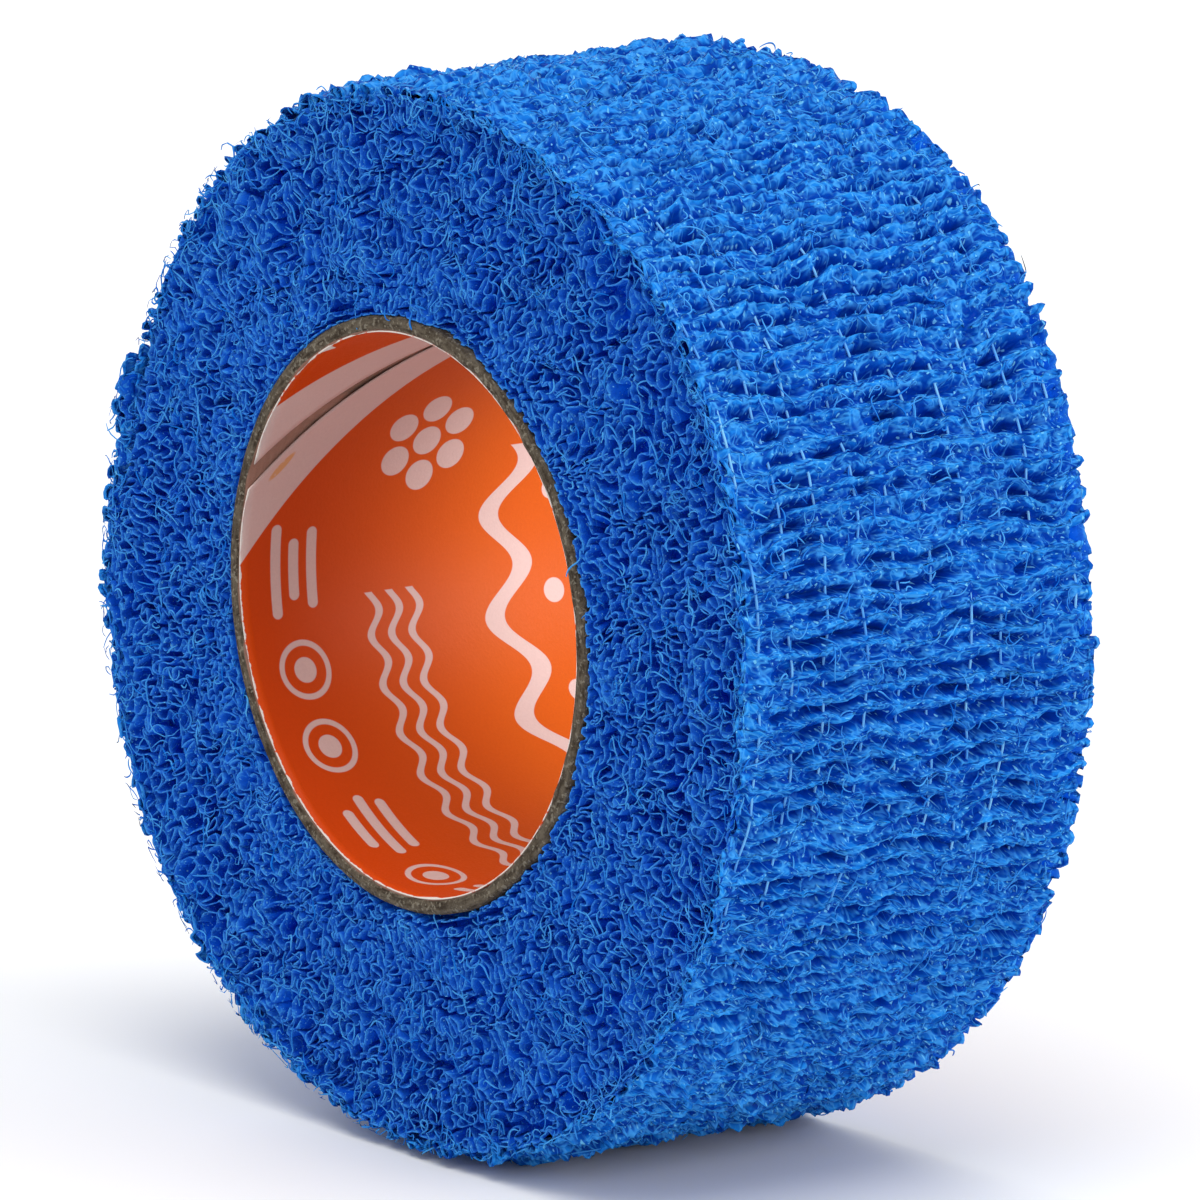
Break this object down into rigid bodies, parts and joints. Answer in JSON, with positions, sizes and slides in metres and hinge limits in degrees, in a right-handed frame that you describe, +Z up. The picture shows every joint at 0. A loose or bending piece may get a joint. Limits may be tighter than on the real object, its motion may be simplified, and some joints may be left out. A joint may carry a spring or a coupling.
{
  "type": "bandage roll",
  "caption": "Short roll of crinkled stretch bandage wound on a cardboard tube lined with printed paper, standing on its rim.",
  "frame": {"origin": "middle of the underside of the bounding box, on the small flat spot the roll stands on", "axes": "the roll's axis runs along Y, the end face with the winding step faces -Y, +Z is up"},
  "size_m": [0.0632, 0.0255, 0.0631],
  "materials": {
    "bandage": "matt blue crinkled web with a slight glint",
    "core_tube": "raw grey-brown board",
    "liner": "orange printed paper, satin"
  },
  "bodies": {
    "root": {"bandage": "bandage", "core_tube": "core_tube", "liner": "liner"}
  },
  "joints": []
}
